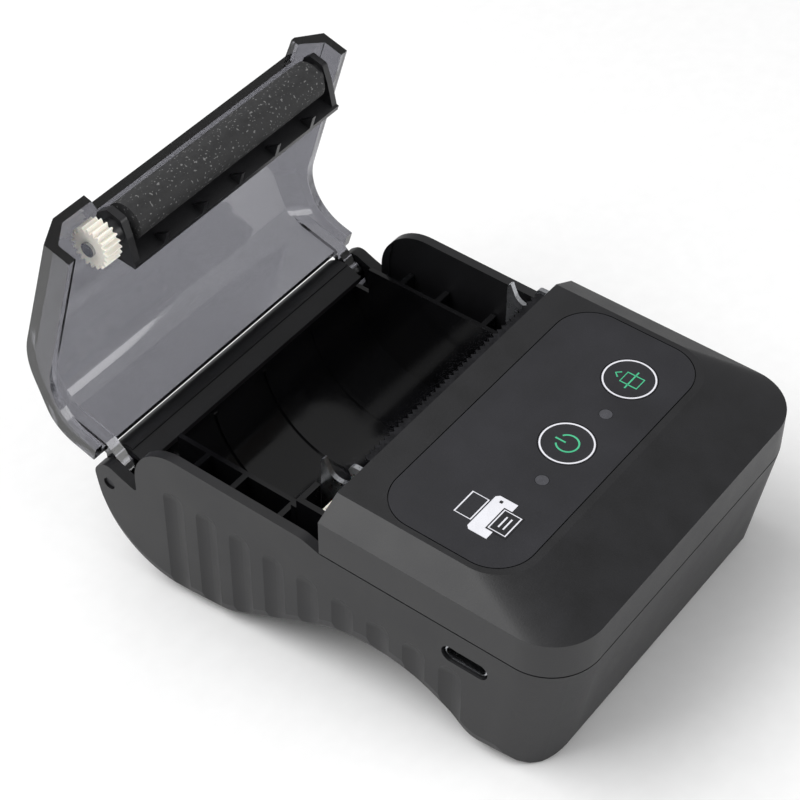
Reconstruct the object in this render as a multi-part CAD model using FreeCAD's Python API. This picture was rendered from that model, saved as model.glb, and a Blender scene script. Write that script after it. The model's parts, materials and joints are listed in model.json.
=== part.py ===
import FreeCAD, Part
import math
import os

# Portable thermal receipt printer: a two-shell case with a paper roll bin, a print
# mechanism behind a control panel, and a lid that carries the platen roller.
# The design frame has X across, Y from the front face to the hinge and Z up from the
# seam between the two shells.  Everything is drawn with the lid shut, then the lid is
# swung open and the whole printer is tilted to the way it stands on its two feet.
# All sizes are millimetres.

# ---- overall case -------------------------------------------------------------
CASE_WIDTH = 79.0
WALL = 2.0
CORNER_R = 10.5            # plan radius of the two front corners
STANCE_DEG = 6.5           # nose-down tilt of the seam when the printer stands
TABLE_DEPTH = 27.0         # seam to table, measured at the front face
SEAM_GAP = 0.3             # parting gap between the shells
FRONT_LEAN = 4.1           # the front face leans back by this much at the foot
FOOT_REAR = 19.0
ARCH_Y = 37.5
ARCH_Z = -14.3
ARCH_R = 32.0
ARCH_LEAN = 34.0           # half of the turn that the arch makes
BULGE_FRONT = 76.0
BULGE_REAR = 105.5
REAR_FOOT_END = 88.0       # where the flat under the bulge starts to round up
BULGE_R = 18.0
FLANK_R = 4.5              # rounding of the lower side edges
FLANK_STEPS = 5
RIM_REAR = 97.0            # rear edge of the side walls, in front of the hinge ears
RIM_TOP = 1.7
RIM_CORNER_R = 11.0
NOTCH_Z = -13.2
FLUTE_PITCH = 8.0
FLUTE_COUNT = 9
FLUTE_FIRST = 23.5
FLUTE_HALF = 2.5
FLUTE_DEPTH = 0.7
FLUTE_TOP_FRONT = -9.9
FLUTE_TOP_REAR = -7.5

# ---- hinge and lid ------------------------------------------------------------
HINGE_Y = 104.2
HINGE_Z = -15.5
OPEN_DEG = 74.0            # lid angle at its open stop
PIN_R = 1.35
RUN_CLEAR = 0.05           # radial clearance of a pin or shaft in its hole
EAR_T = 2.5                # thickness of the hinge ears
EAR_R = 5.2
LIP_END_GAP = 0.3
ARM_T = 2.6
MOVE_GAP = 0.4             # room between moving bodies
LID_FRONT = 52.9
LID_WALL = 1.8
LID_LEDGE_Z = 2.4          # lower edge of the closed lid's side walls
BACK_EDGE_Y = 100.9
BACK_EDGE_Z = -11.0

# ---- cover and control panel -----------------------------------------------------
COVER_REAR = 52.5
COVER_TOP = 11.4
COVER_WALL = 2.0
SHOULDER_X = 34.0
SHOULDER_Z = 8.4
PLATEAU_R = 9.0            # corner radius of the flat deck round the key panel
SLOPE_REAR = 15.4
PANEL_Y = 31.65
PANEL_WIDTH = 65.8
PANEL_DEPTH = 29.5
PANEL_R = 8.0
PANEL_T = 0.5
PANEL_GAP = 0.2
BUTTON_R = 5.3
BUTTON_GAP = 0.12
BUTTON_TRAVEL = 0.4
BUTTON_FLANGE = 1.0
BUTTON_XS = (0.2, 20.65)
BUTTON_Y = 27.2
LAMP_XS = (-9.9, 10.5)
LAMP_Y = 25.7
LAMP_R = 1.25

# ---- paper path ------------------------------------------------------------------
BIN_LEFT = -26.2           # inner faces of the roll bin's cheeks
BIN_RIGHT = 32.6
BIN_R = 19.7
BIN_Y = 81.5
BIN_Z = -12.3
BIN_WALL = 1.0
BIN_TOP = -8.0
BIN_FRONT = 64.6
BIN_REAR_TOP = -14.4
BIN_RIB_YS = (68.0, 79.5, 88.5)
BIN_RIB_T = 1.2
TRACK_XS = (-12.0, 3.2, 18.4)
TRACK_HEIGHT = 0.5
PLATEN_Y = 58.9
PLATEN_Z = 5.2
PLATEN_R = 3.95
PLATEN_LEFT = -20.7
PLATEN_RIGHT = 32.9
SHAFT_R = 1.5
SHAFT_LEFT = -30.8
SHAFT_RIGHT = 36.1
BUSH_R = 2.4
BUSH_ENDS = ((-26.1, -21.9), (33.2, 36.1))

# ---- gear train ------------------------------------------------------------------
GEAR_MODULE = 0.4
GEAR_LEFT = -30.2
GEAR_WIDTH = 3.9
PLATEN_TEETH = 20
DRIVE_TEETH = 20
REDUCTION_TEETH = 28
PINION_TEETH = 12
BACKLASH = 0.1
TIP_GAP = 0.3              # between the platen gear and the drive gear, lid shut
DRIVE_ANGLE = -112.6       # direction from the platen to the drive gear
STUD_R = 0.8
MOTOR_Y = 41.0
MOTOR_Z = -5.0
MOTOR_R = 7.0
MOTOR_LENGTH = 14.0
MOTOR_SHAFT_R = 0.75

# ---- print mechanism ---------------------------------------------------------------
FRAME_T = 1.0
FRAME_LEFT = -25.4         # outer face of the left side plate
FRAME_RIGHT = 34.4         # outer face of the right side plate
FRAME_FLOOR = -11.0
FRAME_FRONT_LEFT = 34.0
FRAME_FRONT_RIGHT = 39.5
FRAME_BACK = 63.2
FRAME_WALL_Y = 48.6
HORN_TOP = 8.5
NOTCH_GAP = 0.35
HEAD_GAP = 0.35            # between the head and the closed platen
HEAD_T = 1.2
SINK_T = 2.0
HEAD_BOTTOM = -9.2
HEAD_TOP = 7.6
PIVOT_R = 0.6
PIVOT_Z = -8.0
MOUTH_LEAN = 24.0
HEAD_FACE_Y = PLATEN_Y - PLATEN_R - HEAD_GAP
SINK_MID_Y = HEAD_FACE_Y - HEAD_T - SINK_T / 2
SPRING_R = 1.5
SPRING_WIRE = 0.3
SPRING_XS = (-10.0, 22.0)
SPRING_Z = -1.0
SPRING_GAP = 0.4          # left behind the heat sink for its two degrees of tilt
TEAR_T = 0.8
TEAR_BACK = 55.4
TEAR_LEFT = -23.0
TEAR_RIGHT = 31.9
TOOTH_PITCH = 1.4
TOOTH_DEPTH = 0.8

# ---- inner electronics -----------------------------------------------------------
BOARD_T = 1.2
BOARD_FRONT = 4.8
BOARD_BACK = 31.5
KEY_BOARD_Z = 3.2
KEY_BOARD_FRONT = 17.5
KEY_BOARD_BACK = 35.0
SWITCH_SIZE = 6.0
SWITCH_HEIGHT = 3.5
USB_Y = 20.6
USB_Z = -6.3
USB_WIDTH = 8.94
USB_HEIGHT = 3.2
USB_DEPTH = 7.3
USB_WALL = 0.3
BATTERY_LENGTH = 60.0
BATTERY_DEPTH = 16.5
BATTERY_HEIGHT = 10.5
BATTERY_FRONT = 7.2
BATTERY_TOP = -11.2
SCREW_POINTS = ((-31.5, 12.0), (31.5, 12.0), (-33.5, 36.0), (33.5, 36.0))
SCREW_R = 1.0
SCREW_HEAD_R = 1.9
SCREW_HEAD_T = 1.4
SCREW_DEPTH = 3.0          # how far a screw head sits up its well
BOSS_R = 2.7
BOSS_JOINT_Z = -11.5

HALF = CASE_WIDTH / 2
os.makedirs("parts", exist_ok=True)


def vec(x, y, z):
    return FreeCAD.Vector(x, y, z)


def table_z(y):
    """Height of the table under the case at y, in the design frame."""
    return -TABLE_DEPTH - y * math.tan(math.radians(STANCE_DEG))


ORIGIN_Y = (BULGE_FRONT + REAR_FOOT_END) / 2
ORIGIN = vec(0, ORIGIN_Y, table_z(ORIGIN_Y))


def stand(shape):
    """Tilt the drawn printer on to its feet, with the origin under its rear foot."""
    moved = shape.copy()
    moved.translate(ORIGIN * -1)
    moved.rotate(vec(0, 0, 0), vec(1, 0, 0), STANCE_DEG)
    return moved


def swing(shape):
    """Swing a lid piece from shut to its open stop."""
    moved = shape.copy()
    moved.rotate(vec(0, HINGE_Y, HINGE_Z), vec(-1, 0, 0), OPEN_DEG)
    return moved


def save(name, shape, on_lid=False):
    if on_lid:
        shape = swing(shape)
    stand(shape).exportStep("parts/" + name + ".step")


def box(x0, x1, y0, y1, z0, z1):
    return Part.makeBox(x1 - x0, y1 - y0, z1 - z0, vec(x0, y0, z0))


def rod(radius, x0, x1, y, z):
    return Part.makeCylinder(radius, x1 - x0, vec(x0, y, z), vec(1, 0, 0))


def post(radius, x, y, z0, z1):
    return Part.makeCylinder(radius, z1 - z0, vec(x, y, z0), vec(0, 0, 1))


def outline(points):
    """Closed wire in a plane through (a, b, radius) corners; radius 0 is a sharp one."""
    count = len(points)
    starts = []
    ends = []
    middles = []
    for i in range(count):
        a, b, radius = points[i]
        here = vec(a, b, 0)
        back = vec(points[i - 1][0], points[i - 1][1], 0) - here
        ahead = vec(points[(i + 1) % count][0], points[(i + 1) % count][1], 0) - here
        back.normalize()
        ahead.normalize()
        if radius == 0:
            starts.append(here)
            ends.append(here)
            middles.append(None)
            continue
        half_angle = back.getAngle(ahead) / 2
        reach = radius / math.tan(half_angle)
        bisector = back + ahead
        bisector.normalize()
        centre = here + bisector * (radius / math.sin(half_angle))
        starts.append(here + back * reach)
        ends.append(here + ahead * reach)
        middles.append(centre - bisector * radius)
    edges = []
    for i in range(count):
        if middles[i] is not None:
            edges.append(Part.Arc(starts[i], middles[i], ends[i]).toShape())
        following = starts[(i + 1) % count]
        if (following - ends[i]).Length > 1e-6:
            edges.append(Part.LineSegment(ends[i], following).toShape())
    return Part.Wire(Part.__sortEdges__(edges))


def face_yz(points, x=0.0):
    """Face in the plane X = x from (y, z, radius) corners."""
    face = Part.Face(outline(points))
    turn = FreeCAD.Rotation(vec(0, 1, 0), vec(0, 0, 1), vec(1, 0, 0), "ZXY")
    face.Placement = FreeCAD.Placement(vec(x, 0, 0), turn)
    return face


def slab_yz(points, x0, x1):
    return face_yz(points, x0).extrude(vec(x1 - x0, 0, 0))


def slab_xz(points, y0, y1):
    """Prism along Y from (x, z, radius) corners."""
    face = Part.Face(outline(points))
    face.rotate(vec(0, 0, 0), vec(1, 0, 0), 90)
    face.translate(vec(0, y0, 0))
    return face.extrude(vec(0, y1 - y0, 0))


def slab_xy(points, z0, z1):
    face = Part.Face(outline(points))
    face.translate(vec(0, 0, z0))
    return face.extrude(vec(0, 0, z1 - z0))


def rounded_plate(width, depth, radius, x, y, z0, z1):
    corners = [(x - width / 2, y - depth / 2, radius), (x + width / 2, y - depth / 2, radius),
               (x + width / 2, y + depth / 2, radius), (x - width / 2, y + depth / 2, radius)]
    return slab_xy(corners, z0, z1)


def corner_cutter(side, radius, inset):
    """Takes a front corner of a shell off to its plan radius, leaning with the front face."""
    x_axis = side * (HALF - inset - radius)
    x_out = side * (HALF + 1.0)
    y_axis = inset + radius
    corner = Part.Face(outline([(x_axis, -1.0, 0), (x_out, -1.0, 0),
                                (x_out, y_axis, 0), (x_axis, y_axis, 0)]))
    disc = Part.Face(Part.Wire(Part.makeCircle(radius, vec(x_axis, y_axis, 0))))
    plan = corner.cut(disc)
    lean = vec(0, FRONT_LEAN, table_z(FRONT_LEAN))
    return plan.extrude(lean * 2).fuse(plan.extrude(vec(0, 0, COVER_TOP * 2)))


def round_front(shape, inset):
    for side in (-1, 1):
        shape = shape.cut(corner_cutter(side, CORNER_R - inset, inset))
    return shape


# ---- lower shell: a tub with a fluted grip, an arched belly and two hinge ears ---------
def case_profile(inset, lift=0.0):
    """Side outline of the lower case, set in by a wall, its underside lifted."""
    front_low = FRONT_LEAN + inset
    up = inset + lift
    return [
        (inset, 0, 0),
        (front_low, table_z(front_low) + up, 3.5),
        (FOOT_REAR - inset, table_z(FOOT_REAR - inset) + up, 5.0),
        (ARCH_Y, ARCH_Z + up, ARCH_R - up),
        (BULGE_FRONT, table_z(BULGE_FRONT) + up, 12.0),
        (BULGE_REAR - inset * 0.9 - lift * 0.3, table_z(BULGE_REAR) + up, BULGE_R - inset),
        (HINGE_Y + 3.7 - inset, HINGE_Z + 2.6 - inset, 3.0 - inset / 2),
        (HINGE_Y + 0.2 - inset, HINGE_Z + EAR_R - inset, 2.5 - inset / 2),
        (HINGE_Y - 3.6 - inset, HINGE_Z + 3.6 - inset, 1.0),
        (RIM_REAR - inset, NOTCH_Z, 0.6),
        (RIM_REAR - inset, RIM_TOP, RIM_CORNER_R - inset),
        (56.5, RIM_TOP - 0.3, 5.0),
        (COVER_REAR, 0, 0),
    ]


def flank(side):
    """Outer slice of the case, whose underside rounds up into the side wall."""
    wires = []
    for step in range(FLANK_STEPS):
        turn = math.radians(90.0 * step / (FLANK_STEPS - 1))
        lift = FLANK_R * (1 - math.cos(turn))
        x = HALF - FLANK_R + FLANK_R * math.sin(turn)
        wires.append(face_yz(case_profile(0, lift), side * x).OuterWire)
    return Part.makeLoft(wires, True, True)


def make_lower_shell():
    body = round_front(slab_yz(case_profile(0), -HALF + FLANK_R, HALF - FLANK_R), 0)
    for side in (-1, 1):
        body = body.fuse(round_front(flank(side), 0))
    hollow = slab_yz(case_profile(WALL), -HALF + WALL, HALF - WALL)
    hollow = round_front(hollow, WALL)
    body = body.cut(hollow)
    # a rolled lip behind the well closes the view under the open lid's rear edge
    lip_half = HALF - EAR_T - ARM_T - 2 * MOVE_GAP - LIP_END_GAP
    lip = rod(EAR_R, -lip_half, lip_half, HINGE_Y, HINGE_Z)
    lip = lip.common(box(-HALF, HALF, HINGE_Y - 1.0, HINGE_Y + EAR_R + 1.0, HINGE_Z + 1.5, 0))
    body = body.fuse(lip)
    scoop_r = (FLUTE_HALF ** 2 + FLUTE_DEPTH ** 2) / (2 * FLUTE_DEPTH)
    tools = []
    for side in (-1, 1):
        for k in range(FLUTE_COUNT):
            y = FLUTE_FIRST + k * FLUTE_PITCH
            rise = (FLUTE_TOP_REAR - FLUTE_TOP_FRONT) * k / (FLUTE_COUNT - 1)
            top = FLUTE_TOP_FRONT + rise - FLUTE_HALF
            x = side * (HALF + scoop_r - FLUTE_DEPTH)
            tools.append(post(scoop_r, x, y, -45, top))
            tools.append(Part.makeSphere(scoop_r, vec(x, y, top)))
        # room for the lid's hinge arm, and the pin hole through the ear
        arm_out = side * (HALF - EAR_T)
        arm_in = side * (HALF - EAR_T - ARM_T - 2 * MOVE_GAP)
        tools.append(box(min(arm_in, arm_out), max(arm_in, arm_out), RIM_REAR - 6, 112, HINGE_Z - 6, 5))
    tools.append(rod(PIN_R, -HALF - 1, HALF + 1, HINGE_Y, HINGE_Z))
    # the roll's well runs back under the rolled rear edge
    slot_in = HALF - EAR_T - ARM_T - 2 * MOVE_GAP
    tools.append(box(-slot_in, slot_in, RIM_REAR - 6, HINGE_Y - EAR_R + 0.8, HINGE_Z - 5, 5))
    # mouth of the tub, from the cover back to the hinge
    tools.append(box(-HALF + WALL, HALF - WALL, COVER_REAR - 3, RIM_REAR - 2.5, -6, 5))
    # charging socket window
    half_z = USB_HEIGHT / 2 + 0.3
    window = rounded_slot_x(-HALF - 1, -HALF + WALL + 1, USB_Y, USB_Z, USB_WIDTH / 2 + 0.45, half_z)
    tools.append(window)
    for x, y in SCREW_POINTS:
        floor = floor_z(y)
        tools.append(post(SCREW_HEAD_R + 0.2, x, y, floor - 10, floor + SCREW_DEPTH + SCREW_HEAD_T))
        tools.append(post(SCREW_R + 0.1, x, y, floor, 0))
        boss = post(BOSS_R, x, y, floor + WALL / 2, BOSS_JOINT_Z)
        body = body.fuse(boss)
    for tool in tools:
        body = body.cut(tool)
    return body


def floor_z(y):
    """Height of the case's underside below a screw."""
    if y < FOOT_REAR:
        return table_z(y)
    return ARCH_Z - ARCH_R * (1 / math.cos(math.radians(ARCH_LEAN)) - 1) - 0.2


def rounded_slot_x(x0, x1, y, z, half_y, half_z):
    """Slot along X with round ends."""
    core = box(x0, x1, y - half_y + half_z, y + half_y - half_z, z - half_z, z + half_z)
    for end in (-1, 1):
        core = core.fuse(rod(half_z, x0, x1, y + end * (half_y - half_z), z))
    return core


lower_shell = make_lower_shell()
save("lower_shell", lower_shell)


# ---- front cover: sloped shell over the electronics --------------------------------------
def cover_ring(half_width, front, radius, z):
    """Plan outline of the cover at a height, rounded at its two front corners."""
    wire = outline([(-half_width, front, radius), (half_width, front, radius),
                    (half_width, COVER_REAR, 0), (-half_width, COVER_REAR, 0)])
    wire.translate(vec(0, 0, z))
    return wire


def cover_block(inset):
    """Solid of the cover's outer form, or of its hollow when set in by a wall."""
    slope = math.atan2(COVER_TOP - SHOULDER_Z, HALF - SHOULDER_X)
    drop = inset * (1 / math.cos(slope) - math.tan(slope))
    side_drop = inset * (1 - math.sin(slope)) / math.cos(slope)
    low = SEAM_GAP if inset == 0 else -1.0
    shoulder = SHOULDER_Z - side_drop
    skirt = Part.Face(cover_ring(HALF - inset, inset, CORNER_R - inset, low))
    skirt = skirt.extrude(vec(0, 0, shoulder - low))
    foot_ring = cover_ring(HALF - inset, inset, CORNER_R - inset, shoulder)
    deck_half = SHOULDER_X - drop * 0.5
    deck_ring = cover_ring(deck_half, SLOPE_REAR + drop, PLATEAU_R, COVER_TOP - inset)
    deck = Part.makeLoft([foot_ring, deck_ring], True, True)
    return skirt.fuse(deck).removeSplitter()


def make_front_cover():
    body = cover_block(0).cut(cover_block(COVER_WALL))
    body = body.cut(rounded_plate(PANEL_WIDTH, PANEL_DEPTH, PANEL_R, 0, PANEL_Y,
                                  COVER_TOP - PANEL_T, COVER_TOP + 5))
    for x in BUTTON_XS:
        body = body.cut(post(BUTTON_R + BUTTON_GAP, x, BUTTON_Y, 0, 20))
    for x in LAMP_XS:
        body = body.cut(post(LAMP_R - 0.3, x, LAMP_Y, 0, 20))
    for x, y in SCREW_POINTS:
        boss = post(BOSS_R, x, y, BOSS_JOINT_Z + 0.1, COVER_TOP - COVER_WALL + 0.5)
        body = body.fuse(boss.common(cover_block(0).fuse(box(-HALF + 3, HALF - 3, 3, 50, -20, 2))))
        body = body.cut(post(SCREW_R - 0.2, x, y, BOSS_JOINT_Z - 1, BOSS_JOINT_Z + 8))
    return body


cover = make_front_cover()
save("front_cover", cover)


# ---- roll bin: glossy trough that holds the paper roll -------------------------------------
def make_roll_bin():
    left = BIN_LEFT - BIN_WALL
    right = BIN_RIGHT + BIN_WALL
    outer = rod(BIN_R + BIN_WALL, left, right, BIN_Y, BIN_Z)
    outer = outer.fuse(box(left, right, BIN_Y - BIN_R - BIN_WALL, BIN_Y + BIN_R, BIN_Z, BIN_TOP))
    inner = rod(BIN_R, BIN_LEFT, BIN_RIGHT, BIN_Y, BIN_Z)
    inner = inner.fuse(box(BIN_LEFT, BIN_RIGHT, 40, 110, BIN_Z, 20))
    body = outer.cut(inner)
    body = body.cut(box(left - 1, right + 1, 40, BIN_FRONT, FRAME_FLOOR - 3, 20))
    body = body.cut(box(left - 1, right + 1, 40, 120, BIN_TOP, 20))
    body = body.cut(box(left - 1, right + 1, HINGE_Y - EAR_R - 2.0, 120, BIN_REAR_TOP, 20))
    for x in TRACK_XS:
        ring = rod(BIN_R + 0.1, x - 0.5, x + 0.5, BIN_Y, BIN_Z)
        ring = ring.cut(rod(BIN_R - TRACK_HEIGHT, x - 1, x + 1, BIN_Y, BIN_Z))
        body = body.fuse(ring.common(box(-50, 50, BIN_Y - 17, 120, -60, BIN_REAR_TOP - 2)))
    reach = HALF - WALL - 0.3
    for y in BIN_RIB_YS:
        low = BIN_Z - 3
        body = body.fuse(box(-reach, left + 0.2, y, y + BIN_RIB_T, low, BIN_TOP))
        body = body.fuse(box(right - 0.2, reach, y, y + BIN_RIB_T, low, BIN_TOP))
    return body


roll_bin = make_roll_bin()
save("roll_bin", roll_bin)


# ---- control panel: film overlay with two keys and two lamps -------------------------------
panel = rounded_plate(PANEL_WIDTH - 2 * PANEL_GAP, PANEL_DEPTH - 2 * PANEL_GAP, PANEL_R - PANEL_GAP,
                      0, PANEL_Y, COVER_TOP - PANEL_T, COVER_TOP)
for x in BUTTON_XS:
    panel = panel.cut(post(BUTTON_R + BUTTON_GAP, x, BUTTON_Y, 0, 20))
for x in LAMP_XS:
    panel = panel.cut(post(LAMP_R + 0.05, x, LAMP_Y, 0, 20))
save("control_panel", panel)

FLANGE_TOP = COVER_TOP - COVER_WALL - 0.15
FLANGE_BOTTOM = KEY_BOARD_Z + BOARD_T + SWITCH_HEIGHT + BUTTON_TRAVEL + 0.1
for name, x in zip(("power_button", "feed_button"), BUTTON_XS):
    cap = post(BUTTON_R, x, BUTTON_Y, FLANGE_TOP, COVER_TOP)
    cap = cap.fuse(post(BUTTON_R + BUTTON_FLANGE, x, BUTTON_Y, FLANGE_BOTTOM, FLANGE_TOP))
    save(name, cap)
for name, x in zip(("status_lamp", "charge_lamp"), LAMP_XS):
    lens = post(LAMP_R - 0.03, x, LAMP_Y, COVER_TOP - PANEL_T, COVER_TOP)
    lens = lens.fuse(post(LAMP_R - 0.4, x, LAMP_Y, KEY_BOARD_Z + BOARD_T + 1.0, COVER_TOP - PANEL_T))
    save(name, lens)


# ---- circuit boards, socket and battery ------------------------------------------------------
MAIN_BOARD_TOP = USB_Z - USB_HEIGHT / 2
board_half = HALF - WALL - 0.6
main_board = rounded_plate(2 * board_half, BOARD_BACK - BOARD_FRONT, 9.5, 0, (BOARD_BACK + BOARD_FRONT) / 2,
                           MAIN_BOARD_TOP - BOARD_T, MAIN_BOARD_TOP)
key_board = box(-32, 32, KEY_BOARD_FRONT, KEY_BOARD_BACK, KEY_BOARD_Z, KEY_BOARD_Z + BOARD_T)
for x, y in SCREW_POINTS:
    main_board = main_board.cut(post(BOSS_R + 0.4, x, y, -30, 20))
    key_board = key_board.cut(post(BOSS_R + 0.4, x, y, -30, 20))
save("main_board", main_board)
save("key_board", key_board)

switch_z = KEY_BOARD_Z + BOARD_T
switches = []
leds = []
for x in BUTTON_XS:
    base = box(x - SWITCH_SIZE / 2, x + SWITCH_SIZE / 2, BUTTON_Y - SWITCH_SIZE / 2,
               BUTTON_Y + SWITCH_SIZE / 2, switch_z, switch_z + 2.4)
    switches.append(base.fuse(post(1.75, x, BUTTON_Y, switch_z, switch_z + SWITCH_HEIGHT)))
for x in LAMP_XS:
    leds.append(box(x - 0.8, x + 0.8, LAMP_Y - 0.6, LAMP_Y + 0.6, switch_z, switch_z + 0.7))
save("key_switches", Part.makeCompound(switches))
save("status_leds", Part.makeCompound(leds))

chips = [box(-6, 4, 12, 22, MAIN_BOARD_TOP, MAIN_BOARD_TOP + 1.4),
         box(10, 18, 10, 18, MAIN_BOARD_TOP, MAIN_BOARD_TOP + 1.2),
         box(22, 34, 20, 29, MAIN_BOARD_TOP, MAIN_BOARD_TOP + 2.0),
         box(-18, -12, 20, 27, MAIN_BOARD_TOP, MAIN_BOARD_TOP + 1.6)]
save("board_chips", Part.makeCompound(chips))

usb_mouth = -HALF + 0.6
shell_out = rounded_slot_x(usb_mouth, usb_mouth + USB_DEPTH, USB_Y, USB_Z, USB_WIDTH / 2, USB_HEIGHT / 2)
shell_in = rounded_slot_x(usb_mouth - 1, usb_mouth + USB_DEPTH - 1.0, USB_Y, USB_Z,
                          USB_WIDTH / 2 - USB_WALL, USB_HEIGHT / 2 - USB_WALL)
save("usb_socket", shell_out.cut(shell_in))
save("usb_tongue", box(usb_mouth + 0.8, usb_mouth + USB_DEPTH - 1.0, USB_Y - 3.3, USB_Y + 3.3,
                       USB_Z - 0.35, USB_Z + 0.35))

battery = box(-BATTERY_LENGTH / 2, BATTERY_LENGTH / 2, BATTERY_FRONT, BATTERY_FRONT + BATTERY_DEPTH,
              BATTERY_TOP - BATTERY_HEIGHT, BATTERY_TOP)
for x, y in SCREW_POINTS:
    battery = battery.cut(post(BOSS_R + 0.5, x, y, -30, 0))
save("battery_pack", battery)


def case_screw(x, y):
    head_z = floor_z(y) + SCREW_DEPTH
    shank = post(SCREW_R, x, y, head_z, BOSS_JOINT_Z)
    thread = post(SCREW_R - 0.2, x, y, BOSS_JOINT_Z, BOSS_JOINT_Z + 6.0)
    head = post(SCREW_HEAD_R, x, y, head_z, head_z + SCREW_HEAD_T)
    cross = box(x - 1.0, x + 1.0, y - 0.25, y + 0.25, head_z - 1, head_z + 0.7)
    cross = cross.fuse(box(x - 0.25, x + 0.25, y - 1.0, y + 1.0, head_z - 1, head_z + 0.7))
    return shank.fuse(thread).fuse(head).cut(cross)


save("case_screws", Part.makeCompound([case_screw(x, y) for x, y in SCREW_POINTS]))


# ---- print mechanism frame: folded steel with a horn each side that takes the platen ---------
def side_plate(x0, front):
    x1 = x0 + FRAME_T
    plate = slab_yz([(front, FRAME_FLOOR, 2), (FRAME_BACK, FRAME_FLOOR, 2), (FRAME_BACK, 6.4, 1.2),
                     (PLATEN_Y - 2.0, 6.4, 0), (PLATEN_Y - 2.6, HORN_TOP, 1.2),
                     (PLATEN_Y - 5.6, HORN_TOP, 1.2), (PLATEN_Y - 6.6, 4.0, 2),
                     (front, 2.4, 2)], x0, x1)
    half = BUSH_R + NOTCH_GAP
    notch = rod(half, x0 - 1, x1 + 1, PLATEN_Y, PLATEN_Z)
    mouth = box(x0 - 1, x1 + 1, PLATEN_Y - half, PLATEN_Y + half, PLATEN_Z, PLATEN_Z + 12)
    mouth.rotate(vec(0, PLATEN_Y, PLATEN_Z), vec(1, 0, 0), -MOUTH_LEAN)
    plate = plate.cut(notch.fuse(mouth))
    return plate.cut(rod(PIVOT_R + RUN_CLEAR, x0 - 1, x1 + 1, SINK_MID_Y, PIVOT_Z))




def gear_wire_points(teeth, phase_deg, bore_y, bore_z):
    """Straight-sided teeth round a gear, as (y, z, 0) corners."""
    pitch_r = GEAR_MODULE * teeth / 2
    tip_r = pitch_r + GEAR_MODULE
    root_r = pitch_r - 1.2 * GEAR_MODULE
    width = math.pi * GEAR_MODULE / 2 - BACKLASH
    tip_half = 0.5 * width * 0.5 / tip_r
    root_half = 0.5 * width * 1.6 / root_r
    points = []
    for k in range(teeth):
        middle = math.radians(phase_deg) + 2 * math.pi * k / teeth
        tooth = ((root_r, -root_half), (tip_r, -tip_half), (tip_r, tip_half), (root_r, root_half))
        for radius, turn in tooth:
            angle = middle + turn
            points.append((bore_y + radius * math.cos(angle), bore_z + radius * math.sin(angle), 0))
    return points


def gear(teeth, phase_deg, y, z, bore_r):
    body = slab_yz(gear_wire_points(teeth, phase_deg, y, z), GEAR_LEFT, GEAR_LEFT + GEAR_WIDTH)
    return body.cut(rod(bore_r, GEAR_LEFT - 1, GEAR_LEFT + GEAR_WIDTH + 1, y, z))


def meshing_phase(direction, phase, teeth, other_teeth):
    """Phase of a gear that meshes with another lying in a direction from it."""
    return direction + 180.0 + 180.0 / other_teeth - (phase - direction) * teeth / other_teeth


def direction_to(start, end):
    return math.degrees(math.atan2(end[1] - start[1], end[0] - start[0]))


def centre_distance(teeth, other_teeth):
    return GEAR_MODULE * (teeth + other_teeth) / 2 + 0.05


drive_reach = GEAR_MODULE * (PLATEN_TEETH + DRIVE_TEETH + 4) / 2 + TIP_GAP
turn = math.radians(DRIVE_ANGLE)
DRIVE = (PLATEN_Y + drive_reach * math.cos(turn), PLATEN_Z + drive_reach * math.sin(turn))
MOTOR = (MOTOR_Y, MOTOR_Z)
# the reduction gear sits below the line from the motor to the drive gear
near = centre_distance(PINION_TEETH, REDUCTION_TEETH)
far = centre_distance(REDUCTION_TEETH, DRIVE_TEETH)
span = math.dist(MOTOR, DRIVE)
along = (near ** 2 - far ** 2 + span ** 2) / (2 * span)
below = math.sqrt(near ** 2 - along ** 2)
unit = ((DRIVE[0] - MOTOR[0]) / span, (DRIVE[1] - MOTOR[1]) / span)
REDUCTION = (MOTOR[0] + along * unit[0] + below * unit[1], MOTOR[1] + along * unit[1] - below * unit[0])

to_reduction = direction_to(MOTOR, REDUCTION)
reduction_phase = meshing_phase(to_reduction, 0.0, PINION_TEETH, REDUCTION_TEETH)
drive_phase = meshing_phase(direction_to(REDUCTION, DRIVE), reduction_phase, REDUCTION_TEETH, DRIVE_TEETH)

frame = side_plate(FRAME_LEFT, FRAME_FRONT_LEFT)
frame = frame.fuse(side_plate(FRAME_RIGHT - FRAME_T, FRAME_FRONT_RIGHT))
wall_left = FRAME_LEFT + 0.2
wall_right = FRAME_RIGHT - 0.2
frame = frame.fuse(box(wall_left, wall_right, FRAME_WALL_Y, FRAME_WALL_Y + FRAME_T, FRAME_FLOOR, 1.5))
floor_top = FRAME_FLOOR + FRAME_T
frame = frame.fuse(box(wall_left, wall_right, FRAME_WALL_Y, FRAME_BACK - 2, FRAME_FLOOR, floor_top))
frame = frame.cut(rod(MOTOR_SHAFT_R + 0.6, FRAME_LEFT - 1, FRAME_LEFT + 2, MOTOR_Y, MOTOR_Z))
save("mechanism_frame", frame)

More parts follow.
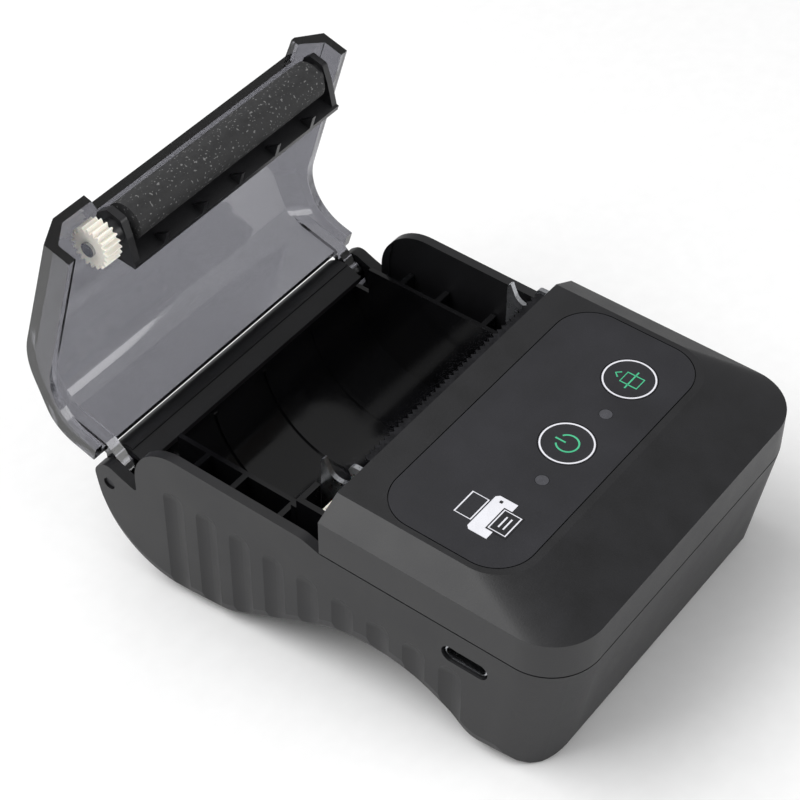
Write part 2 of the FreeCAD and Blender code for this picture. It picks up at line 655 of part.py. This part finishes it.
studs = []
for y, z in (DRIVE, REDUCTION):
    studs.append(rod(STUD_R, GEAR_LEFT - 0.6, FRAME_LEFT, y, z))
save("gear_studs", Part.makeCompound(studs))
save("drive_gear", gear(DRIVE_TEETH, drive_phase, DRIVE[0], DRIVE[1], STUD_R + RUN_CLEAR))
stud_bore = STUD_R + RUN_CLEAR
save("reduction_gear", gear(REDUCTION_TEETH, reduction_phase, REDUCTION[0], REDUCTION[1], stud_bore))
save("motor_pinion", gear(PINION_TEETH, 0.0, MOTOR_Y, MOTOR_Z, MOTOR_SHAFT_R))
save("motor_shaft", rod(MOTOR_SHAFT_R, GEAR_LEFT - 0.3, FRAME_LEFT + FRAME_T + 7.0, MOTOR_Y, MOTOR_Z))
motor = rod(MOTOR_R, FRAME_LEFT + FRAME_T, FRAME_LEFT + FRAME_T + MOTOR_LENGTH, MOTOR_Y, MOTOR_Z)
motor = motor.cut(rod(MOTOR_SHAFT_R + RUN_CLEAR, FRAME_LEFT, FRAME_LEFT + FRAME_T + 7.2, MOTOR_Y, MOTOR_Z))
save("feed_motor", motor)

guard_x = GEAR_LEFT - 1.2
guard = box(guard_x - 1.2, guard_x, MOTOR_Y - 1.8, FRAME_BACK, FRAME_FLOOR - 5.0, 1.0)
return_y = FRAME_BACK + 0.1
guard = guard.fuse(box(guard_x - 1.2, FRAME_LEFT, return_y, return_y + 1.2, FRAME_FLOOR - 2.0, -1.0))
save("gear_guard", guard)

# ---- thermal head: ceramic plate on a heat sink, pushed at the platen by two springs -----------
head_left = PLATEN_LEFT - 1.5
head_right = PLATEN_RIGHT - 0.1
plate = box(head_left, head_right, HEAD_FACE_Y - HEAD_T, HEAD_FACE_Y, HEAD_BOTTOM + 1, HEAD_TOP)
save("thermal_head", plate)
sink_face = HEAD_FACE_Y - HEAD_T
sink = box(head_left, head_right, sink_face - SINK_T, sink_face, HEAD_BOTTOM, HEAD_TOP - 0.8)
sink = sink.cut(rod(PIVOT_R + RUN_CLEAR, head_left - 1, head_right + 1, SINK_MID_Y, PIVOT_Z))
save("head_heat_sink", sink)
save("head_pivot_rod", rod(PIVOT_R, FRAME_LEFT - 0.4, FRAME_RIGHT + 0.4, SINK_MID_Y, PIVOT_Z))
springs = []
spring_y = FRAME_WALL_Y + FRAME_T
spring_length = SINK_MID_Y - SINK_T / 2 - SPRING_GAP - spring_y
for x in SPRING_XS:
    coil = Part.makeCylinder(SPRING_R, spring_length, vec(x, spring_y, SPRING_Z), vec(0, 1, 0))
    hollow = Part.makeCylinder(SPRING_R - SPRING_WIRE, 10, vec(x, spring_y - 1, SPRING_Z), vec(0, 1, 0))
    coil = coil.cut(hollow)
    springs.append(coil)
save("head_springs", Part.makeCompound(springs))

# ---- tear bar: toothed strip under the cover's rear edge ------------------------------------------
under_cover = COVER_TOP - COVER_WALL
teeth = [(TEAR_LEFT, COVER_REAR - 5.0, 0), (TEAR_RIGHT, COVER_REAR - 5.0, 0)]
count = int((TEAR_RIGHT - TEAR_LEFT) / TOOTH_PITCH)
step = (TEAR_RIGHT - TEAR_LEFT) / count
for k in range(count):
    x = TEAR_RIGHT - k * step
    teeth.append((x, TEAR_BACK - TOOTH_DEPTH, 0))
    teeth.append((x - step / 2, TEAR_BACK, 0))
teeth.append((TEAR_LEFT, TEAR_BACK - TOOTH_DEPTH, 0))
save("tear_bar", slab_xy(teeth, under_cover - TEAR_T, under_cover))
save("paper_sensor", box(0, 6, FRAME_BACK - 6.5, FRAME_BACK - 2.5, floor_top, floor_top + 2.5))


# ---- lid -------------------------------------------------------------------------------------------
def lid_profile(inset, drop):
    """Side outline of the shut lid, set in by a wall; drop lowers the shoulder edge."""
    top = COVER_TOP - inset - drop
    back = BACK_EDGE_Y - inset
    rim = RIM_REAR + MOVE_GAP
    return [
        (LID_FRONT - (1 if inset else 0), LID_LEDGE_Z - (1 if inset else 0), 0),
        (LID_FRONT - (1 if inset else 0), top, 0),
        (87.0, top + 0.5, 16 - inset),
        (back, 2.0 - drop - inset * 0.6, 9 - inset),
        (back, BACK_EDGE_Z - (1 if inset else 0), 0),
        (rim - (3.2 if inset else 0), BACK_EDGE_Z - (1 if inset else 0), 0),
        (rim - (3.2 if inset else 0), LID_LEDGE_Z - (1 if inset else 0), 6.0 if inset else RIM_CORNER_R),
    ]


def lid_form(inset):
    shoulder = SHOULDER_X - inset * 0.3
    side_x = HALF - inset
    drop = COVER_TOP - SHOULDER_Z
    body = slab_yz(lid_profile(inset, 0), -shoulder, shoulder)
    for side in (-1, 1):
        wires = [face_yz(lid_profile(inset, 0), side * shoulder).OuterWire,
                 face_yz(lid_profile(inset, drop), side * side_x).OuterWire]
        body = body.fuse(Part.makeLoft(wires, True, True))
    return body


def make_lid_shell():
    body = lid_form(0).cut(lid_form(LID_WALL))
    # the free edge is set back for the paper and the tear bar
    z0 = COVER_TOP - 5
    back = LID_FRONT + 4.4
    recess = slab_xy([(-27.5, 50, 0), (33.4, 50, 0), (32.5, back, 0), (-23.6, back, 0)], z0, z0 + 9)
    body = body.cut(recess)
    for side in (-1, 1):
        arm_out = side * (HALF - EAR_T - MOVE_GAP)
        arm_in = side * (HALF - EAR_T - MOVE_GAP - ARM_T)
        x0 = min(arm_in, arm_out)
        x1 = max(arm_in, arm_out)
        arm = slab_yz([(98.2, 0, 0), (100.2, 0, 0), (BACK_EDGE_Y, BACK_EDGE_Z - 0.6, 0),
                       (HINGE_Y + 2.4, HINGE_Z + 2.2, 0), (HINGE_Y - 2.2, HINGE_Z - 2.4, 0),
                       (98.2, -11.0, 0)], x0, x1)
        arm = arm.fuse(rod(3.3, x0, x1, HINGE_Y, HINGE_Z))
        body = body.fuse(arm)
    return body.cut(rod(PIN_R, -HALF, HALF, HINGE_Y, HINGE_Z))


lid_shell = make_lid_shell()
save("lid_shell", lid_shell, True)

pins = []
for side in (-1, 1):
    ends = (side * (HALF - 0.4), side * (HALF - EAR_T - ARM_T - 2 * MOVE_GAP - 3.0))
    pins.append(rod(PIN_R - RUN_CLEAR, min(ends), max(ends), HINGE_Y, HINGE_Z))
save("hinge_pins", Part.makeCompound(pins))


# ---- platen cradle and roller, carried by the lid ----------------------------------------------------
ceiling = COVER_TOP - LID_WALL
wall_y = FRAME_BACK + 0.4
end_plates = ((-23.6, -22.0), (34.8, 36.2))
cradle = slab_yz([(wall_y, ceiling, 0), (wall_y + 3.0, ceiling, 0), (wall_y + 1.2, -1.0, 0),
                  (wall_y, -1.0, 0)], end_plates[0][0], end_plates[1][1])
for x0, x1 in end_plates:
    plate = slab_yz([(LID_FRONT + 5.0, ceiling, 0), (wall_y + 1, ceiling, 0), (wall_y + 1, -1.0, 0),
                     (PLATEN_Y, PLATEN_Z - 3.2, 2.0), (PLATEN_Y - 3.4, PLATEN_Z - 1.0, 1.0),
                     (PLATEN_Y - 3.4, ceiling - 2.0, 0)], x0, x1)
    cradle = cradle.fuse(plate)
for k in range(5):
    x = PLATEN_LEFT + (k + 0.5) * (PLATEN_RIGHT - PLATEN_LEFT) / 5
    corners = [(wall_y + 0.2, -1.0, 0), (wall_y + 0.2, 1.8, 0), (wall_y - 3.0, -1.0, 0)]
    cradle = cradle.fuse(slab_yz(corners, x - 0.5, x + 0.5))
cradle = cradle.cut(rod(BUSH_R, -50, 50, PLATEN_Y, PLATEN_Z)).cut(lid_shell)
save("platen_cradle", cradle, True)

bushes = []
for x0, x1 in BUSH_ENDS:
    bush = rod(BUSH_R, x0, x1, PLATEN_Y, PLATEN_Z)
    bushes.append(bush.cut(rod(SHAFT_R + RUN_CLEAR, x0 - 1, x1 + 1, PLATEN_Y, PLATEN_Z)))
save("platen_bushes", Part.makeCompound(bushes), True)
save("platen_shaft", rod(SHAFT_R, SHAFT_LEFT, SHAFT_RIGHT, PLATEN_Y, PLATEN_Z), True)
rubber = rod(PLATEN_R, PLATEN_LEFT, PLATEN_RIGHT, PLATEN_Y, PLATEN_Z)
save("platen_rubber", rubber.cut(rod(SHAFT_R, -50, 50, PLATEN_Y, PLATEN_Z)), True)
save("platen_gear", gear(PLATEN_TEETH, 0.0, PLATEN_Y, PLATEN_Z, SHAFT_R), True)
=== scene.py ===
import json
import math
import bmesh
import bpy
from mathutils import Matrix, Vector


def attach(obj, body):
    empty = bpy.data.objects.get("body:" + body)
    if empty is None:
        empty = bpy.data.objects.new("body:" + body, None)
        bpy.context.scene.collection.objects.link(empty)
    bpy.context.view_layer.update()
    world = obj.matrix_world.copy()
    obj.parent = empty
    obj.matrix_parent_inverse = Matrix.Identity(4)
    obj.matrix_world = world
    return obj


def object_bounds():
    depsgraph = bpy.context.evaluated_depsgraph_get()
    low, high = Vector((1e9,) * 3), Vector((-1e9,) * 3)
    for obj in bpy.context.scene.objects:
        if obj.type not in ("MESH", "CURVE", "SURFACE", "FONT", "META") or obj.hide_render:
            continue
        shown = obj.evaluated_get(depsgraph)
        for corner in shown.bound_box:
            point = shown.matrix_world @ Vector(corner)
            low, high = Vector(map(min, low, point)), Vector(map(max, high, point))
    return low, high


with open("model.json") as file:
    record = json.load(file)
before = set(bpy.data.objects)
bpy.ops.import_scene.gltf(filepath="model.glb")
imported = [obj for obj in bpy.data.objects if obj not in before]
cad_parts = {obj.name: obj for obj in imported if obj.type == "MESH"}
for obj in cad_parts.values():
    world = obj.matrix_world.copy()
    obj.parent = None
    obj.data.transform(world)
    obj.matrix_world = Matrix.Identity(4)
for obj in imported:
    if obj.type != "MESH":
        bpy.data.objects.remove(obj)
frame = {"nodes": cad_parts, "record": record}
CAD_BOX = [list(corner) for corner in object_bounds()]
nodes = frame["nodes"]

# ---- lower shell -------------------------------------------------------------------
# The tub of the case: one injection moulding in black ABS, taken from a tool whose
# walls were spark eroded, which leaves an even satin grit over flutes and belly.


def linear(hex_colour):
    """An sRGB hex colour as the linear RGBA that a shader reads."""
    parts = [int(hex_colour[i:i + 2], 16) / 255 for i in (1, 3, 5)]
    return [c / 12.92 if c <= 0.04045 else ((c + 0.055) / 1.055) ** 2.4 for c in parts] + [1.0]


def add(tree, kind, links=None, **settings):
    """Adds a node. settings are its properties or, with a leading I_, its inputs."""
    made = tree.nodes.new(kind)
    for key, value in settings.items():
        if key.startswith("I_"):
            made.inputs[key[2:].replace("_", " ")].default_value = value
        else:
            setattr(made, key, value)
    for name, source in (links or {}).items():
        tree.links.new(source, made.inputs[name])
    return made


def mottled(name, dark, light, patch_mm, grit_mm, relief_mm, rough, rough_spread, **shader):
    """A surface with slow patches of tone, a fine grit in relief and uneven gloss."""
    mat = bpy.data.materials.new(name)
    mat.use_nodes = True
    tree = mat.node_tree
    tree.nodes.clear()
    place = add(tree, "ShaderNodeTexCoord").outputs["Object"]
    patch = add(tree, "ShaderNodeTexNoise", {"Vector": place}, I_Scale=1000 / patch_mm, I_Detail=3.0)
    grit = add(tree, "ShaderNodeTexNoise", {"Vector": place}, I_Scale=1000 / grit_mm, I_Detail=2.0)
    both = add(tree, "ShaderNodeMath", operation="MULTIPLY_ADD")
    tree.links.new(patch.outputs["Fac"], both.inputs[0])
    both.inputs[1].default_value = 0.6
    fine = add(tree, "ShaderNodeMath", operation="MULTIPLY")
    tree.links.new(grit.outputs["Fac"], fine.inputs[0])
    fine.inputs[1].default_value = 0.4
    tree.links.new(fine.outputs[0], both.inputs[2])
    tone = add(tree, "ShaderNodeValToRGB", {"Fac": both.outputs[0]})
    tone.color_ramp.elements[0].position = 0.35
    tone.color_ramp.elements[1].position = 0.65
    tone.color_ramp.elements[0].color = linear(dark)
    tone.color_ramp.elements[1].color = linear(light)
    gloss = add(tree, "ShaderNodeMapRange", {"Value": both.outputs[0]}, I_From_Min=0.3, I_From_Max=0.7,
                I_To_Min=rough - rough_spread, I_To_Max=rough + rough_spread)
    relief = add(tree, "ShaderNodeBump", {"Height": grit.outputs["Fac"]}, I_Distance=relief_mm / 1000,
                 I_Strength=1.0)
    surface = add(tree, "ShaderNodeBsdfPrincipled", {"Base Color": tone.outputs["Color"],
                  "Roughness": gloss.outputs["Result"], "Normal": relief.outputs["Normal"]}, **shader)
    add(tree, "ShaderNodeOutputMaterial", {"Surface": surface.outputs["BSDF"]})
    return mat


def finish(names, mat):
    """Gives carried-over CAD nodes their material."""
    for name in names:
        for slot in nodes[name].material_slots:
            slot.material = mat


# spark-eroded ABS: half a millimetre between the grit's peaks reads as satin, not gloss
eroded_abs = mottled("spark_eroded_abs", "#101012", "#17171a", 9.0, 0.35, 0.016, 0.50, 0.05)
finish(["lower_shell"], eroded_abs)

# ---- front cover -------------------------------------------------------------------
# The sloped deck over the electronics, a second ABS moulding in a slightly lighter
# and finer texture. It clips on to the tub along the seam round the nose.
cover_abs = mottled("fine_textured_abs", "#0f0f11", "#18181b", 7.0, 0.28, 0.018, 0.44, 0.05)
finish(["front_cover"], cover_abs)

# ---- roll bin ----------------------------------------------------------------------
# The trough that cradles the paper roll, moulded in polished black ABS so that the
# paper slides. Its gloss shows the lights as long soft streaks.
polished_abs = mottled("polished_abs", "#0c0c0e", "#121214", 14.0, 1.2, 0.0015, 0.14, 0.05)
finish(["roll_bin", "gear_guard"], polished_abs)

# ---- key panel ---------------------------------------------------------------------
# A printed polyester film stuck in a shallow recess of the cover, with two keys
# under domes and two small lamps. The film has a fine matt coat.
film = mottled("matt_polyester_film", "#17171b", "#222227", 12.0, 0.25, 0.014, 0.42, 0.03)
finish(["control_panel", "power_button", "feed_button"], film)
lens = mottled("milky_lens", "#3e3e42", "#4a4a4f", 2.0, 0.3, 0.002, 0.25, 0.05)
finish(["status_lamp", "charge_lamp", "status_leds"], lens)

# The film's printing is screened ink, a few hundredths of a millimetre thick: white
# rings and a printer sign, mint signs on the keys. Flat ink, so faintly uneven.
down = Vector(next(j["axis"] for j in frame["record"]["behaviour"]["joints"] if j["name"] == "power_press"))
PANEL_UP = -down
PANEL_ACROSS = Vector((1, 0, 0))
PANEL_BACK = PANEL_UP.cross(PANEL_ACROSS)
INK_T = 0.00004
MM = 0.001


def reach(node, axis):
    """Lowest and highest place of a CAD node along an axis."""
    along = [vertex.co.dot(axis) for vertex in nodes[node].data.vertices]
    return min(along), max(along)


def band(points, width, closed=False):
    """Quads, in millimetres, that follow a line of points with a width."""
    quads = []
    count = len(points)
    normals = []
    for i in range(count):
        before = points[(i - 1) % count] if closed or i > 0 else points[i]
        after = points[(i + 1) % count] if closed or i < count - 1 else points[i]
        run = Vector((after[0] - before[0], after[1] - before[1])).normalized()
        normals.append(Vector((-run.y, run.x)) * width / 2)
    for i in range(count if closed else count - 1):
        j = (i + 1) % count
        a, b = Vector(points[i]), Vector(points[j])
        quads.append([a - normals[i], b - normals[j], b + normals[j], a + normals[i]])
    return quads


def arc(centre_u, centre_v, radius, start, end, steps):
    turns = [math.radians(start + (end - start) * i / steps) for i in range(steps + 1)]
    return [(centre_u + radius * math.cos(t), centre_v + radius * math.sin(t)) for t in turns]


def inked(name, patches, node, layer, mat, body):
    """Ink on the film: patches are polygons in millimetres from the middle of a node."""
    left, right = reach(node, PANEL_ACROSS)
    front, back = reach(node, PANEL_BACK)
    top = reach(node, PANEL_UP)[1] + INK_T * layer
    middle = PANEL_ACROSS * (left + right) / 2 + PANEL_BACK * (front + back) / 2
    ink = bmesh.new()
    for patch in patches:
        under = []
        for u, v in patch:
            flat = middle + PANEL_ACROSS * u * MM + PANEL_BACK * v * MM
            under.append(flat + PANEL_UP * top)
        lower = [ink.verts.new(p) for p in under]
        upper = [ink.verts.new(p + PANEL_UP * INK_T) for p in under]
        ink.faces.new(list(reversed(lower)))
        ink.faces.new(upper)
        for i in range(len(under)):
            j = (i + 1) % len(under)
            ink.faces.new([lower[i], lower[j], upper[j], upper[i]])
    bmesh.ops.remove_doubles(ink, verts=ink.verts, dist=1e-7)
    bmesh.ops.recalc_face_normals(ink, faces=ink.faces)
    mesh = bpy.data.meshes.new(name)
    ink.to_mesh(mesh)
    ink.free()
    mesh.materials.append(mat)
    piece = bpy.data.objects.new(name, mesh)
    bpy.context.collection.objects.link(piece)
    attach(piece, body)


white_ink = mottled("white_screen_ink", "#dcdce2", "#e8e8ee", 4.0, 0.2, 0.003, 0.45, 0.04)
mint_ink = mottled("mint_screen_ink", "#3cab7c", "#4fc493", 4.0, 0.2, 0.003, 0.45, 0.04)
dark_ink = mottled("dark_screen_ink", "#131316", "#1c1c20", 4.0, 0.25, 0.008, 0.42, 0.03)
RING_R = 4.95
for key, body in (("power_button", "power_key"), ("feed_button", "feed_key")):
    inked(key + "_ring", band(arc(0, 0, RING_R, 0, 360, 72)[:-1], 0.32, True), key, 0, white_ink, body)
power_sign = band(arc(0, -0.1, 2.1, 122, 418, 40), 0.34) + band([(0, 0.3), (0, 2.5)], 0.34)
inked("power_sign", power_sign, "power_button", 0, mint_ink, "power_key")
# the feed sign: a sheet that leaves between two rollers, with an arrow head
feed_sign = band([(-1.4, -2.4), (-1.4, 1.2), (1.4, 1.2), (1.4, -2.4)], 0.3, True)
feed_sign += band([(-0.8, 2.1), (0, 3.0), (0.8, 2.1)], 0.3) + band([(-2.5, -0.5), (2.5, -0.5)], 0.3)
inked("feed_sign", feed_sign, "feed_button", 0, mint_ink, "feed_key")
# a plain printer sign: a body with a sheet behind and a tray in front, dark cut-outs
BODY_U, BODY_V = -22.2, -3.9
sign = [[(BODY_U - 4.8, BODY_V - 2.2), (BODY_U + 4.8, BODY_V - 2.2), (BODY_U + 4.8, BODY_V + 1.6),
         (BODY_U + 4.2, BODY_V + 2.2), (BODY_U - 4.2, BODY_V + 2.2), (BODY_U - 4.8, BODY_V + 1.6)]]
sign += band([(BODY_U - 2.8, BODY_V + 2.6), (BODY_U - 2.8, BODY_V + 6.0), (BODY_U + 2.8, BODY_V + 6.0),
              (BODY_U + 2.8, BODY_V + 2.6)], 0.3, True)
inked("printer_sign", sign, "control_panel", 0, white_ink, "case")
tray = [[(BODY_U - 2.9, BODY_V - 0.6), (BODY_U - 2.9, BODY_V - 4.9), (BODY_U + 2.9, BODY_V - 4.9),
         (BODY_U + 2.9, BODY_V - 0.6)],
        [(BODY_U + 3.4, BODY_V + 0.9), (BODY_U + 3.4, BODY_V + 0.3), (BODY_U + 4.0, BODY_V + 0.3),
         (BODY_U + 4.0, BODY_V + 0.9)]]
inked("printer_sign_tray", tray, "control_panel", 1, dark_ink, "case")
sheet_lines = band([(BODY_U - 2.5, BODY_V - 1.0), (BODY_U - 2.5, BODY_V - 4.5), (BODY_U + 2.5, BODY_V - 4.5),
                    (BODY_U + 2.5, BODY_V - 1.0)], 0.3, True)
sheet_lines += band([(BODY_U - 1.4, BODY_V - 2.3), (BODY_U + 1.4, BODY_V - 2.3)], 0.3)
sheet_lines += band([(BODY_U - 1.4, BODY_V - 3.3), (BODY_U + 1.4, BODY_V - 3.3)], 0.3)
inked("printer_sign_sheet", sheet_lines, "control_panel", 2, white_ink, "case")

# ---- electronics -------------------------------------------------------------------
# A glass-fibre board with its solder mask, resin-cased parts, a small key board and
# a shrink-wrapped lithium pack, all hidden while the cover is on.
solder_mask = mottled("solder_mask", "#0d3a22", "#124a2c", 5.0, 0.4, 0.003, 0.32, 0.06)
finish(["main_board", "key_board"], solder_mask)
moulded_resin = mottled("moulded_resin", "#161617", "#1e1e20", 3.0, 0.2, 0.004, 0.55, 0.05)
finish(["key_switches", "board_chips", "usb_tongue", "paper_sensor"], moulded_resin)
shrink_wrap = mottled("shrink_wrap", "#152a5c", "#1c3570", 20.0, 2.0, 0.01, 0.24, 0.06)
finish(["battery_pack"], shrink_wrap)

# The charging socket's tongue carries a row of gold-plated contacts, stamped from
# phosphor bronze and moulded into the tongue at a half millimetre pitch.
gold_plate = mottled("gold_plated_bronze", "#b8923c", "#d0aa50", 1.0, 0.2, 0.001, 0.22, 0.05, I_Metallic=1.0)
CONTACTS = 12
CONTACT_PITCH = 0.0005
CONTACT_LENGTH = 0.0030
CONTACT_WIDTH = 0.00025
CONTACT_T = 0.00003
row = bpy.data.node_groups.new("contact_row", "GeometryNodeTree")
row.interface.new_socket("Contacts", in_out="INPUT", socket_type="NodeSocketInt")
row.interface.new_socket("Pitch", in_out="INPUT", socket_type="NodeSocketVector")
row.interface.new_socket("Contact size", in_out="INPUT", socket_type="NodeSocketVector")
row.interface.new_socket("Geometry", in_out="OUTPUT", socket_type="NodeSocketGeometry")
given = add(row, "NodeGroupInput")
line = add(row, "GeometryNodeMeshLine", {"Count": given.outputs["Contacts"],
           "Offset": given.outputs["Pitch"]})
pad = add(row, "GeometryNodeMeshCube", {"Size": given.outputs["Contact size"]})
spread = add(row, "GeometryNodeInstanceOnPoints", {"Points": line.outputs["Mesh"],
             "Instance": pad.outputs["Mesh"]})
real = add(row, "GeometryNodeRealizeInstances", {"Geometry": spread.outputs["Instances"]})
coat = add(row, "GeometryNodeSetMaterial", {"Geometry": real.outputs["Geometry"]}, I_Material=gold_plate)
add(row, "NodeGroupOutput", {"Geometry": coat.outputs["Geometry"]})
seed = bpy.data.objects.new("contact_seed", bpy.data.meshes.new("contact_seed"))
bpy.context.collection.objects.link(seed)
maker = seed.modifiers.new("row", "NODES")
maker.node_group = row
sockets = {i.name: i.identifier for i in row.interface.items_tree if i.in_out == "INPUT"}
maker[sockets["Contacts"]] = CONTACTS
maker[sockets["Pitch"]] = (0.0, CONTACT_PITCH, 0.0)
maker[sockets["Contact size"]] = (CONTACT_LENGTH, CONTACT_WIDTH, CONTACT_T)
bpy.context.view_layer.update()
made = seed.evaluated_get(bpy.context.evaluated_depsgraph_get())
contact_mesh = bpy.data.meshes.new_from_object(made)
bpy.data.objects.remove(seed)
tongue_left = reach("usb_tongue", PANEL_ACROSS)[0]
tongue_front, tongue_back = reach("usb_tongue", PANEL_BACK)
first = (tongue_front + tongue_back - CONTACT_PITCH * (CONTACTS - 1)) / 2
start = (PANEL_ACROSS * (tongue_left + 0.0006 + CONTACT_LENGTH / 2) + PANEL_BACK * first
         + PANEL_UP * (reach("usb_tongue", PANEL_UP)[1] + CONTACT_T / 2))
basis = Matrix((PANEL_ACROSS, PANEL_BACK, PANEL_UP)).transposed().to_4x4()
contact_mesh.transform(Matrix.Translation(start) @ basis)
contacts = bpy.data.objects.new("usb_contacts", contact_mesh)
bpy.context.collection.objects.link(contacts)
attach(contacts, "case")

# ---- print mechanism ---------------------------------------------------------------
# A stamped, zinc-plated steel frame holds the ceramic head on its aluminium block,
# with a toothed tear bar above. Zinc plate has a faint cloudy spangle.
zinc_plate = mottled("zinc_plated_steel", "#a6a8ac", "#ccced2", 3.0, 0.5, 0.003, 0.30, 0.08, I_Metallic=1.0)
finish(["mechanism_frame", "feed_motor"], zinc_plate)
tear_steel = mottled("blackened_steel", "#2a2a2c", "#3a3a3d", 3.0, 0.4, 0.003, 0.38, 0.08, I_Metallic=1.0)
finish(["tear_bar"], tear_steel)
turned_steel = mottled("turned_steel", "#9c9ea2", "#bcbec2", 2.0, 0.3, 0.002, 0.24, 0.06, I_Metallic=1.0)
finish(["usb_socket", "case_screws", "gear_studs", "motor_pinion", "motor_shaft", "head_pivot_rod",
        "head_springs", "platen_shaft"], turned_steel)
finish(["hinge_pins"], tear_steel)
mill_aluminium = mottled("extruded_aluminium", "#a2a4a8", "#b8babd", 4.0, 0.5, 0.003, 0.34, 0.06,
                         I_Metallic=1.0)
finish(["head_heat_sink"], mill_aluminium)
glazed_ceramic = mottled("glazed_ceramic", "#4a4540", "#5a544d", 4.0, 0.4, 0.001, 0.16, 0.04)
finish(["thermal_head"], glazed_ceramic)

# ---- gears -------------------------------------------------------------------------
# The train and the platen's own gear are natural acetal, off-white and waxy.
white_acetal = mottled("natural_acetal", "#f0ece2", "#f8f5ec", 3.0, 0.4, 0.004, 0.38, 0.05,
                       I_Subsurface_Weight=0.15, I_Subsurface_Scale=0.001)
finish(["drive_gear", "reduction_gear", "platen_gear"], white_acetal)

# ---- lid ---------------------------------------------------------------------------
# A smoked, see-through shell moulded in tinted polycarbonate. Light that crosses the
# wall loses some four fifths, so one wall reads mid grey against white.
smoked = mottled("smoked_polycarbonate", "#7c7c82", "#828288", 18.0, 1.5, 0.001, 0.07, 0.03,
                 I_Transmission_Weight=1.0, I_IOR=1.58)
finish(["lid_shell"], smoked)
black_acetal = mottled("black_acetal", "#19191b", "#212123", 5.0, 0.4, 0.005, 0.36, 0.05)
finish(["platen_cradle", "platen_bushes"], black_acetal)

# ---- platen ------------------------------------------------------------------------
# Silicone rubber moulded on the shaft and ground to size, which leaves it dead matt
# with pale dust in its pores.
ground_rubber = mottled("ground_rubber", "#1a1a1b", "#2a2a2b", 1.2, 0.3, 0.010, 0.72, 0.06)
finish(["platen_rubber"], ground_rubber)
DUST_MM = 0.45         # specks of paper dust, drawn coarse enough to show
DUST_LEAST = 0.72
tree = ground_rubber.node_tree
shader = next(n for n in tree.nodes if n.type == "BSDF_PRINCIPLED")
rubber_tone = shader.inputs["Base Color"].links[0].from_socket
place = next(n for n in tree.nodes if n.type == "TEX_COORD").outputs["Object"]
dust = add(tree, "ShaderNodeTexNoise", {"Vector": place}, I_Scale=1000 / DUST_MM, I_Detail=0.0)
specks = add(tree, "ShaderNodeMapRange", {"Value": dust.outputs["Fac"]}, I_From_Min=DUST_LEAST,
             I_From_Max=DUST_LEAST + 0.03)
dusted = add(tree, "ShaderNodeMix", data_type="RGBA")
tree.links.new(specks.outputs["Result"], dusted.inputs["Factor"])
tree.links.new(rubber_tone, dusted.inputs[6])
dusted.inputs[7].default_value = linear("#6c6c6c")
tree.links.new(dusted.outputs[2], shader.inputs["Base Color"])

# ---- floor, light and camera -------------------------------------------------------
# A seamless pale sweep, a broad softbox overhead to the left, a low fill in front
# and a dim white surround.
low, high = CAD_BOX
bpy.ops.mesh.primitive_plane_add(size=6.0, location=(0, 0, low[2] - 0.0002))
floor = bpy.context.object
floor.name = "floor"
floor.data.materials.append(mottled("pale_paper_sweep", "#f4f4f4", "#f8f8f8", 300.0, 4.0, 0.002, 0.8, 0.05))
world = bpy.data.worlds.new("studio")
bpy.context.scene.world = world
world.use_nodes = True
world.node_tree.nodes["Background"].inputs["Color"].default_value = linear("#ffffff")
world.node_tree.nodes["Background"].inputs["Strength"].default_value = 0.42


def softbox(name, place, target, size, power):
    data = bpy.data.lights.new(name, "AREA")
    data.shape = "RECTANGLE"
    data.size, data.size_y = size
    data.energy = power
    light = bpy.data.objects.new(name, data)
    light.location = place
    light.rotation_euler = (Vector(target) - Vector(place)).to_track_quat("-Z", "Y").to_euler()
    bpy.context.collection.objects.link(light)


MIDDLE = (0, -0.02, 0.03)
softbox("overhead", (-0.25, 0.30, 0.75), MIDDLE, (0.9, 0.8), 7.0)
softbox("left_fill", (-0.70, -0.15, 0.25), MIDDLE, (0.4, 0.4), 0.3)
softbox("front_fill", (0.15, -0.75, 0.25), MIDDLE, (0.6, 0.4), 2.6)

RIGHT = Vector((0.602254, -0.793703, -0.085590))
UP = Vector((0.563911, 0.347083, 0.749358))
BACK = Vector((-0.565061, -0.499569, 0.656610))
camera_data = bpy.data.cameras.new("camera")
camera_data.sensor_width = 36.0
camera_data.lens = 99.28
camera = bpy.data.objects.new("camera", camera_data)
bpy.context.collection.objects.link(camera)
turn = Matrix((RIGHT, UP, BACK)).transposed().to_4x4()
camera.matrix_world = Matrix.Translation(Vector((-0.235796, -0.230137, 0.308006))) @ turn
bpy.context.scene.camera = camera
bpy.context.scene.view_settings.view_transform = "Standard"
